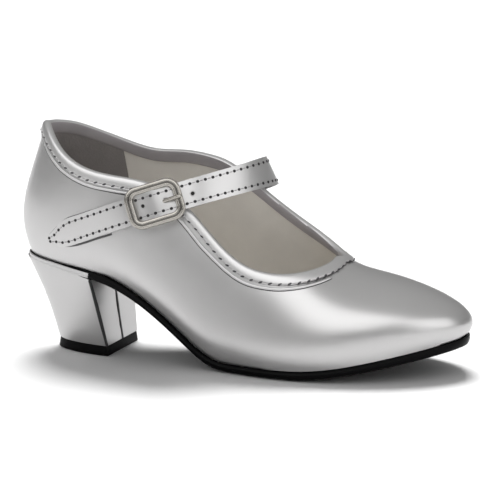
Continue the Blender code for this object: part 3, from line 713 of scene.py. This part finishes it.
class SHOE_OT_grip(bpy.types.Operator):
    """Suede heel grip sewn inside the back of the shoe, its dark colour partly painted shade"""

    bl_idname = "shoe.grip"
    bl_label = "Heel grip"

    def execute(self, context):
        settings = context.scene.shoe_leather
        grip = node_copy("upper", "heel_grip")
        inside = inside_faces(grip)
        centre = np.array([p.center for p in grip.data.polygons])
        front = settings.grip_front
        keep = inside & (centre[:, 0] < front + 0.012)
        pick_faces(grip, ~keep)
        bpy.ops.mesh.delete(type="FACE")
        bpy.ops.mesh.select_all(action="SELECT")
        bpy.ops.mesh.bisect(plane_co=(front, 0, 0), plane_no=(1, 0, 0.12), clear_outer=True)
        bpy.ops.object.mode_set(mode="OBJECT")
        rounded(grip, 2)
        modify(grip, "SOLIDIFY", thickness=0.0007, offset=1.0)
        dress(grip, "beige_lining", grip_suede_painted_shade(settings), angle=40)
        return {"FINISHED"}


class SHOE_OT_binding(bpy.types.Operator):
    """Rolled binding on the topline, the folded edge under it and their stitches"""

    bl_idname = "shoe.binding"
    bl_label = "Binding"

    def execute(self, context):
        settings = context.scene.shoe_leather
        stitches = context.scene.shoe_stitches
        silver = silver_leather("silver_binding", settings, 1.08, 0.04)
        roll = node_copy("topline_binding", "binding_roll")
        rounded(roll, 2)
        inside = inside_faces(roll)
        dress(roll, "silver_leather", silver, tape_cloth(settings), angle=70, replaced=["topline_binding"])
        roll.data.polygons.foreach_set("material_index", inside.astype(np.int32))

        places, ahead, away = topline()
        upper = Skin(bpy.data.objects["upper_skin"])
        (low, out), down = down_the_skin(upper, places, ahead, away, 0.0056)
        out = unit(settle(out))
        low = settle(low, rounds=3)
        fold = strip("binding_fold", low, out, 0.0015, 0.0010, True)
        dress(fold, "silver_leather", silver, angle=70)
        # Painted shade: a thin dark strip just below the folded edge
        under = strip("binding_shade", low + down * 0.00085, out, 0.0005, 0.0005, True)
        dress(under, "silver_leather", thread_and_shade_look("fold_shade", (0.06, 0.058, 0.06)))

        skin = Skin(roll)
        on_roll, _ = skin.nearest(places + down * stitches.binding_drop + unit(away + 0.3 * out) * 0.0022)
        centre, run = spaced(settle(on_roll, rounds=3), stitches.binding_pitch, True)
        centre, out = skin.nearest(centre)
        slant = unit(run + 0.45 * np.cross(out, run))
        thread = thread_and_shade_look("dark_thread_binding", (0.045, 0.042, 0.048))
        pits = sow("binding_stitches", seed_shape((0.0021, 0.0009, 0.0006)), centre, slant, out)
        dress(pits, "silver_leather", thread)
        after = np.roll(centre, -1, 0)
        middle, out = skin.nearest((centre + after) / 2)
        strands = sow("binding_strands", seed_shape((0.0024, 0.0005, 0.0005)), middle, after - centre, out)
        dress(strands, "silver_leather", thread_and_shade_look("silver_thread", (0.42, 0.41, 0.41)))
        return {"FINISHED"}


def tail_ways(upper):
    """The tail's tip, the way ahead from it and the way across to the tail's upper edge."""
    tip = np.array(TAIL_TIP)
    ahead = unit(np.array(TAIL_ROOT) - tip)
    across = unit(np.cross(ahead, upper.nearest(tip[None])[1][0]))
    return tip, ahead, across * np.sign(across[2])


def point_tail(points, upper):
    """Draws the strap's tail to a point: its lower edge runs straight and the upper one comes down to it."""
    tip, ahead, across = tail_ways(upper)
    reach = (points - tip) @ ahead
    rise = (points - tip) @ across
    t = np.clip((reach + 0.0015) / TAIL_POINTED, 0, 1)
    pull = 1 - (1 - TAIL_PINCH) * (1 - t * t * (3 - 2 * t))
    near = reach < TAIL_POINTED
    moved = points + np.outer((pull - 1) * rise, across)
    moved = moved - np.outer(TAIL_STRETCH * (1 - np.clip(reach / 0.004, 0, 1)) ** 2, ahead)
    before, out = upper.nearest(points)
    lift = ((points - before) * out).sum(1)
    after, out = upper.nearest(moved)
    return np.where(near[:, None], after + out * lift[:, None], points)


class SHOE_OT_strap(bpy.types.Operator):
    """Instep strap with punched holes and two rows of dark stitches"""

    bl_idname = "shoe.strap"
    bl_label = "Strap"

    def execute(self, context):
        settings = context.scene.shoe_leather
        stitches = context.scene.shoe_stitches
        strap = node_copy("strap", "strap_leather")
        bevel(strap, 0.0004, 2, 45)
        rounded(strap, 1)
        skin = Skin(bpy.data.objects["upper_skin"])
        corners = np.array([v.co for v in strap.data.vertices])
        strap.data.vertices.foreach_set("co", point_tail(corners, skin).ravel())
        edges = np.array(STRAP_MM) / 1000
        lower = smooth_path(edges[:, :3], False)
        upper = smooth_path(edges[:, 3:], False)
        lower, upper = point_tail(lower, skin), point_tail(upper, skin)
        self.shade(skin, strap)
        self.punch(strap)
        silver = silver_leather("silver_strap", settings, 1.02)
        dress(strap, "silver_leather", silver, cut_edge(), angle=45, replaced=["strap"])
        cut = self.edge_faces(strap, (lower + upper) / 2, upper - lower)
        strap.data.polygons.foreach_set("material_index", cut)
        skin = Skin(strap)
        rows = []
        for edge, other in ((lower, upper), (upper, lower)):
            width = np.linalg.norm(other - edge, axis=1)[:, None]
            row = edge + unit(other - edge) * np.minimum(stitches.strap_inset, width * 0.28)
            rows.append(spaced(row, stitches.strap_pitch, False, start=0.0030, stop=0.002))
        centre, out = skin.nearest(np.concatenate([row[0] for row in rows]))
        run = np.concatenate([row[1] for row in rows])
        pits = sow("strap_stitches", seed_shape((0.0016, 0.0014, 0.0007)), centre, run, out)
        dress(pits, "silver_leather", thread_and_shade_look("dark_thread", stitches.thread))
        middle, out = skin.nearest(np.concatenate([(row[0][1:] + row[0][:-1]) / 2 for row in rows]))
        run = np.concatenate([row[0][1:] - row[0][:-1] for row in rows])
        strands = sow("strap_strands", seed_shape((0.0017, 0.00045, 0.0005)), middle, run, out)
        dress(strands, "silver_leather", thread_and_shade_look("grey_strap_thread", (0.30, 0.29, 0.295)))
        return {"FINISHED"}

    def shade(self, skin, strap):
        """Painted shadow: a dark line where the tail's lower and upper edge meet the upper, from its tip on.
        """
        parts = []
        tip, ahead, across = tail_ways(skin)
        corners = np.array([v.co for v in strap.data.vertices]) - tip
        reach, rise = corners @ ahead, corners @ across
        stations = np.linspace(reach.min() + 0.0005, TAIL_SHADE_REACH, 40)
        for side, width in TAIL_SHADE_WIDTHS:
            level = [(side * rise[abs(reach - at) < 0.0015]).max() for at in stations]
            row = tip + np.outer(stations, ahead) + np.outer(side * (np.array(level) + width * 0.3), across)
            places, out = skin.nearest(row)
            out = unit(settle(out, False))
            parts.append(strip("tail_shade", settle(places, False, 4), out, width, 0.0003, False))
        join(parts)
        dress(parts[0], "silver_leather", thread_and_shade_look("tail_shade", (0.10, 0.098, 0.10)))

    def edge_faces(self, strap, middle, across):
        """1 for the faces along the strap's cut edges."""
        across = unit(across)
        marks = []
        for polygon in strap.data.polygons:
            nearest = ((middle - np.array(polygon.center)) ** 2).sum(1).argmin()
            marks.append(int(abs(polygon.normal.dot(Vector(across[nearest]))) > 0.80))
        return marks

    def punch(self, strap):
        """The three holes: a disc of painted shade in each, and a pressed rim round it."""
        skin = Skin(strap)
        at, along, across, out = (np.array(v) for v in (BUCKLE_AT, BUCKLE_ALONG, BUCKLE_ACROSS, BUCKLE_OUT))
        centres = [at + along * x + across * y + out * 0.002 for x, y in HOLES]
        centres, outs = skin.nearest(np.array(centres))
        # Painted shade: a near-black disc stands for the shadow inside each hole
        hole = Look("hole_painted_shade", 0.9)
        fibres = hole.noise(0.0004, 2.0)
        hole.set("Base Color", hole.blend(fibres, (0.004, 0.004, 0.004, 1), (0.03, 0.027, 0.025, 1)))
        hole.bump(fibres, 0.0001, 0.8)
        disc = seed_shape((0.0019, 0.0019, 0.0004), 6, 20)
        bottoms = sow("hole_shade_discs", disc, centres, [along] * len(HOLES), outs)
        dress(bottoms, "silver_leather", hole.material)
        let_go()
        bpy.ops.mesh.primitive_torus_add(
            major_radius=0.00105, minor_radius=0.00022, major_segments=28, minor_segments=8
        )
        rims = sow("hole_rims", bpy.context.object, centres, [along] * len(HOLES), outs)
        dress(rims, "silver_leather", silver_leather("silver_rim", bpy.context.scene.shoe_leather, 0.9))


class SHOE_OT_buckle(bpy.types.Operator):
    """Buckle frame with two ridges and a groove, its centre bar, prong and leather tab"""

    bl_idname = "shoe.buckle"
    bl_label = "Buckle"

    def execute(self, context):
        settings = context.scene.shoe_metal
        nickel = nickel_look("old_nickel", settings, 1.0)
        patina = nickel_look("nickel_patina", settings, 0.30)
        frame_piece = self.frame_bars()
        dress(frame_piece, "brushed_nickel", nickel, patina, angle=60, replaced=["buckle_frame"])
        frame_piece.data.polygons.foreach_set("material_index", self.groove_faces(frame_piece))
        at, across, out = (np.array(v) for v in (BUCKLE_AT, BUCKLE_ACROSS, BUCKLE_OUT))
        reach = BUCKLE_WIDTH / 2 - 0.0012
        line = np.array([at + across * y - out * BUCKLE_BAR_DEPTH for y in np.linspace(-reach, reach, 5)])
        thick = 2 * BUCKLE_BAR_RADIUS
        bar = strip("buckle_bar", line, np.repeat(out[None], 5, 0), thick, thick, False)
        dress(bar, "brushed_nickel", nickel, angle=60)
        prong = node_copy("buckle_prong", "prong_metal")
        crease_corners(prong, math.radians(60), 0.6)
        rounded(prong, 2)
        modify(prong, "DISPLACE", strength=0.00045, mid_level=0.0)
        dress(prong, "brushed_nickel", nickel, angle=60, replaced=["buckle_prong"])
        tab = node_copy("buckle_tab", "tab_leather")
        bevel(tab, 0.0002, 2, 45)
        silver = silver_leather("silver_tab", context.scene.shoe_leather)
        dress(tab, "silver_leather", silver, angle=40, replaced=["buckle_tab"])
        return {"FINISHED"}

    def turn(self):
        """From the buckle's own directions to the shoe's."""
        turn = Matrix((BUCKLE_ALONG, BUCKLE_ACROSS, BUCKLE_OUT)).transposed().to_4x4()
        return Matrix.Translation(BUCKLE_AT) @ turn

    def frame_bars(self):
        """A ridged section run round a rounded rectangle, deeper along the sides."""
        half_width, mid = BUCKLE_BAR / 2, (BUCKLE_TOP + BUCKLE_BAR_LEVEL) / 2
        let_go()
        bpy.ops.curve.primitive_bezier_circle_add(radius=1.0)
        section = bpy.context.object
        section.data.resolution_u = 12
        bpy.ops.object.convert(target="MESH")
        bpy.ops.object.convert(target="CURVE")
        section = bpy.context.object
        for point in section.data.splines[0].points:
            x, y = point.co[0], point.co[1]
            groove = 0.42 * math.exp(-((x / 0.24) ** 2)) if y > 0 else 0.0
            rise = math.copysign(abs(y) ** 0.7, y) * (1 - groove)
            point.co = (x * half_width, rise * (BUCKLE_TOP - mid), 0.0, 1.0)
        path = self.outline()
        level = np.zeros(len(path))
        ring = laid("buckle_frame_metal", section, np.column_stack([path, level + mid]), level, True)
        for vertex in ring.data.vertices:
            t = min(max(abs(vertex.co.x) / (BUCKLE_LENGTH / 2 - BUCKLE_BAR) * 1.6 - 0.6, 0.0), 1.0)
            ends = t * t * (3 - 2 * t)
            low = BUCKLE_RAIL_LEVEL + (BUCKLE_BAR_LEVEL - BUCKLE_RAIL_LEVEL) * ends
            if vertex.co.z < mid:
                vertex.co.z = mid + (vertex.co.z - mid) * (mid - low) / (mid - BUCKLE_BAR_LEVEL)
        ring.data.transform(self.turn())
        return ring

    def groove_faces(self, ring):
        """1 for the faces at the bottom of the groove, where old plate stays dark."""
        back = self.turn().inverted()
        corner = BUCKLE_CORNER - BUCKLE_BAR / 2
        half = ((BUCKLE_LENGTH - BUCKLE_BAR) / 2 - corner, (BUCKLE_WIDTH - BUCKLE_BAR) / 2 - corner)
        marks = []
        for polygon in ring.data.polygons:
            own = back @ polygon.center
            dx, dy = max(abs(own.x) - half[0], 0.0), max(abs(own.y) - half[1], 0.0)
            away = math.hypot(dx, dy) - corner
            marks.append(int(abs(away) < 0.00042 and own.z > BUCKLE_BAR_LEVEL + 0.0008))
        return marks

    def outline(self):
        """Middle line of the frame's bars."""
        corner = BUCKLE_CORNER - BUCKLE_BAR / 2
        half_x = (BUCKLE_LENGTH - BUCKLE_BAR) / 2 - corner
        half_y = (BUCKLE_WIDTH - BUCKLE_BAR) / 2 - corner
        points = []
        for quarter, (sx, sy) in enumerate(((1, 1), (-1, 1), (-1, -1), (1, -1))):
            for i in range(13):
                turn = math.radians(90 * quarter + 90 * i / 12)
                points.append(
                    (sx * half_x + corner * math.cos(turn), sy * half_y + corner * math.sin(turn))
                )
        return spaced(np.column_stack([points, np.zeros(len(points))]), 0.0006, True)[0][:, :2]


def widen_seat(points):
    """Widens the heel towards its seat, where the cover is turned over it."""
    rise = np.clip(points[:, 2:] / SEAT_HEIGHT, 0, 1) ** 2
    aside = np.clip((points[:, :2] - SEAT_MIDDLE) / SEAT_HALF, -1, 1)
    return points + rise * np.column_stack([aside * SEAT_ADDED, 0 * rise])


class SHOE_OT_heel(bpy.types.Operator):
    """Covered heel with the seams on its breast and the lip at its seat, and the top lift under it"""

    bl_idname = "shoe.heel"
    bl_label = "Heel"

    def execute(self, context):
        settings = context.scene.shoe_leather
        heel = node_copy("heel_block", "heel_cover")
        corners = np.array([v.co for v in heel.data.vertices])
        heel.data.vertices.foreach_set("co", widen_seat(corners).ravel())
        bevel(heel, 0.0009, 3, 40)
        silver = silver_leather("silver_heel_cover", settings, 0.92)
        dress(heel, "silver_heel", silver, angle=35, replaced=["heel_block"])
        skin = Skin(heel)
        self.seams(skin)
        self.lip(Skin(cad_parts["outsole"]), silver)
        lift = node_copy("top_lift", "lift_rubber")
        bevel(lift, 0.0005, 3, 40)
        rubber = sole_look("lift_black", context.scene.shoe_sole, 0.10)
        dress(lift, "black_rubber", rubber, angle=35, replaced=["top_lift"])
        return {"FINISHED"}

    def seams(self, skin):
        """Folded seams down both corners of the breast and down its middle."""
        parts = []
        for low, high in HEEL_SEAMS:
            ends = np.array(((*low, SEAM_FOOT), (*high, SEAM_HEAD)))
            line = widen_seat(ends[:1] + (ends[1:] - ends[:1]) * np.linspace(0, 1, 24)[:, None])
            places, out = skin.nearest(line + np.array((0.0015, 0, 0)))
            out = unit(settle(out, False, 12))
            parts.append(strip("heel_seams", places, out, 0.0018, 0.0005, False))
        join(parts)
        dress(parts[0], "silver_heel", thread_and_shade_look("seam_dark", (0.03, 0.03, 0.031)))

    def lip(self, sole, silver):
        """The cover's turned edge round the seat, over the thin end of the sole."""
        turns = np.radians(np.linspace(-91, 91, 90))
        start = np.column_stack([0.004 - 0.06 * np.cos(turns), 0.06 * np.sin(turns), 0 * turns + LIP_LEVEL])
        for _ in range(3):
            places, out = sole.nearest(start)
            reach = np.clip((places[:, 0] - LIP_DIP_FROM) / LIP_DIP_LENGTH, 0, 1)
            start = places + out * 0.004
            start[:, 2] = LIP_LEVEL - LIP_FALL * places[:, 0] - LIP_DIP * reach
        places[:, 2] = start[:, 2]
        out[:, 2] = 0
        out = unit(settle(unit(out), False, 8))
        lip = strip("heel_lip", settle(places, False, 3), out, 0.0024, 0.0004, False)
        dress(lip, "silver_heel", silver, angle=60)


class SHOE_OT_sole(bpy.types.Operator):
    """Black sole with a burnished edge, and the insole's sock"""

    bl_idname = "shoe.sole"
    bl_label = "Sole"

    def execute(self, context):
        sole = node_copy("outsole", "sole_leather")
        crease_corners(sole, math.radians(40), 0.9)
        rounded(sole, 1)
        bevel(sole, 0.0003, 2, 35)
        black = sole_look("sole_black", context.scene.shoe_sole)
        dress(sole, "black_sole", black, angle=35, replaced=["outsole"])
        insole = node_copy("insole", "insole_sock")
        crease_corners(insole, math.radians(50))
        rounded(insole, 1)
        sock = insole_look(context.scene.shoe_leather)
        dress(insole, "beige_lining", sock, angle=40, replaced=["insole"])
        return {"FINISHED"}


class SHOE_OT_studio(bpy.types.Operator):
    """Pale floor, soft lights and the camera"""

    bl_idname = "shoe.studio"
    bl_label = "Studio"

    def execute(self, context):
        settings = context.scene.shoe_studio
        let_go()
        bpy.ops.mesh.primitive_plane_add(size=14.0, location=(0, 0, -0.0002))
        floor = bpy.context.object
        floor.name = "studio_floor"
        floor.data.materials.append(self.floor_paper(settings))
        context.scene.view_settings.view_transform = "Standard"
        self.sky()
        self.key_light()
        self.softbox("front_box", (-0.10, -0.95, 1.05), (2.4, 1.2), 13.0)
        self.softbox("side_box", (1.15, -0.35, 0.50), (0.9, 0.8), 3.0)
        self.camera(settings)
        return {"FINISHED"}

    def key_light(self):
        """A wide, even light from above and behind."""
        let_go()
        bpy.ops.object.light_add(type="SUN", location=(-0.3, 0.5, 1.5))
        light = bpy.context.object
        light.name = "key_light"
        light.data.angle = math.radians(24)
        light.visible_glossy = False
        light.data.energy = 3.8
        light.rotation_euler = Vector((-0.20, 0.50, 1.0)).to_track_quat("Z", "Y").to_euler()

    def camera(self, settings):
        let_go()
        az, el = settings.azimuth, settings.elevation
        target = Vector(CAMERA_TARGET)
        back = Vector((math.sin(az) * math.cos(el), -math.cos(az) * math.cos(el), math.sin(el)))
        bpy.ops.object.camera_add(location=target + back * settings.distance)
        camera = bpy.context.object
        camera.rotation_euler = back.to_track_quat("Z", "Y").to_euler()
        camera.data.lens = CAMERA_LENS
        camera.data.sensor_width = 36.0
        camera.data.clip_start = 0.05
        bpy.context.scene.camera = camera

    def softbox(self, name, place, size, power):
        let_go()
        bpy.ops.object.light_add(type="AREA", location=place)
        light = bpy.context.object
        light.name = name
        light.data.shape = "RECTANGLE"
        light.data.size, light.data.size_y = size
        light.data.energy = power
        light.visible_diffuse = False
        light.rotation_euler = (Vector(place) - Vector(LIGHT_TARGET)).to_track_quat("Z", "Y").to_euler()

    def floor_paper(self, settings):
        """Matt white paper."""
        look = Look("floor_paper", 0.9)
        paper = look.noise(0.02, 2.0)
        look.set("Base Color", look.blend(paper, rgba(settings.floor, 0.99), rgba(settings.floor)))
        look.set("Specular IOR Level", 0.1)
        return look.material

    def sky(self):
        """Studio walls: white to the camera, grey to what is glossy, and an even grey to what is matt."""
        world = bpy.data.worlds.new("studio_world")
        bpy.context.scene.world = world
        world.use_nodes = True
        tree = world.node_tree
        background = tree.nodes["Background"]
        place = tree.nodes.new("ShaderNodeTexCoord")
        split = tree.nodes.new("ShaderNodeSeparateXYZ")
        ramp = tree.nodes.new("ShaderNodeValToRGB")
        path = tree.nodes.new("ShaderNodeLightPath")
        mix = tree.nodes.new("ShaderNodeMix")
        mix.data_type = "RGBA"
        elements = ramp.color_ramp.elements
        while len(elements) < len(SKY_LEVELS):
            elements.new(0.5)
        for element, (at, level) in zip(elements, SKY_LEVELS):
            element.position = at
            element.color = (level, level, level * 0.99, 1.0)
        tree.links.new(place.outputs["Generated"], split.inputs[0])
        tree.links.new(split.outputs["Z"], ramp.inputs[0])
        tree.links.new(path.outputs["Is Camera Ray"], mix.inputs[0])
        tree.links.new(ramp.outputs[0], mix.inputs[6])
        mix.inputs[7].default_value = (1.0, 1.0, 1.0, 1.0)
        dim = tree.nodes.new("ShaderNodeMix")
        dim.data_type = "RGBA"
        dim.inputs[7].default_value = (SKY_ON_MATT, SKY_ON_MATT, SKY_ON_MATT, 1.0)
        tree.links.new(path.outputs["Is Diffuse Ray"], dim.inputs[0])
        tree.links.new(mix.outputs[2], dim.inputs[6])
        tree.links.new(dim.outputs[2], background.inputs["Color"])


class SHOE_PT_panel(bpy.types.Panel):
    bl_label = "Flamenco shoe"
    bl_idname = "SHOE_PT_panel"
    bl_space_type = "VIEW_3D"
    bl_region_type = "UI"
    bl_category = "Shoe"

    def draw(self, context):
        for name in GROUPS:
            settings = getattr(context.scene, name)
            box = self.layout.box()
            for key in settings.__annotations__:
                box.prop(settings, key)
        for operator in STEPS:
            self.layout.operator(operator.bl_idname)


GROUPS = {
    "shoe_leather": LeatherLook,
    "shoe_stitches": StitchLook,
    "shoe_metal": MetalLook,
    "shoe_sole": SoleLook,
    "shoe_studio": StudioLook,
}

STEPS = (
    SHOE_OT_studio,
    SHOE_OT_upper,
    SHOE_OT_grip,
    SHOE_OT_binding,
    SHOE_OT_strap,
    SHOE_OT_buckle,
    SHOE_OT_heel,
    SHOE_OT_sole,
)


def register():
    for name, group in GROUPS.items():
        bpy.utils.register_class(group)
        setattr(bpy.types.Scene, name, bpy.props.PointerProperty(type=group))
    for step in STEPS:
        bpy.utils.register_class(step)
    bpy.utils.register_class(SHOE_PT_panel)


def unregister():
    bpy.utils.unregister_class(SHOE_PT_panel)
    for step in reversed(STEPS):
        bpy.utils.unregister_class(step)
    for name, group in GROUPS.items():
        delattr(bpy.types.Scene, name)
        bpy.utils.unregister_class(group)


def main():
    register()
    bpy.ops.shoe.studio()
    bpy.ops.shoe.upper()
    bpy.ops.shoe.grip()
    bpy.ops.shoe.binding()
    bpy.ops.shoe.strap()
    bpy.ops.shoe.buckle()
    bpy.ops.shoe.heel()
    bpy.ops.shoe.sole()
    let_go()


if __name__ == "__main__":
    main()
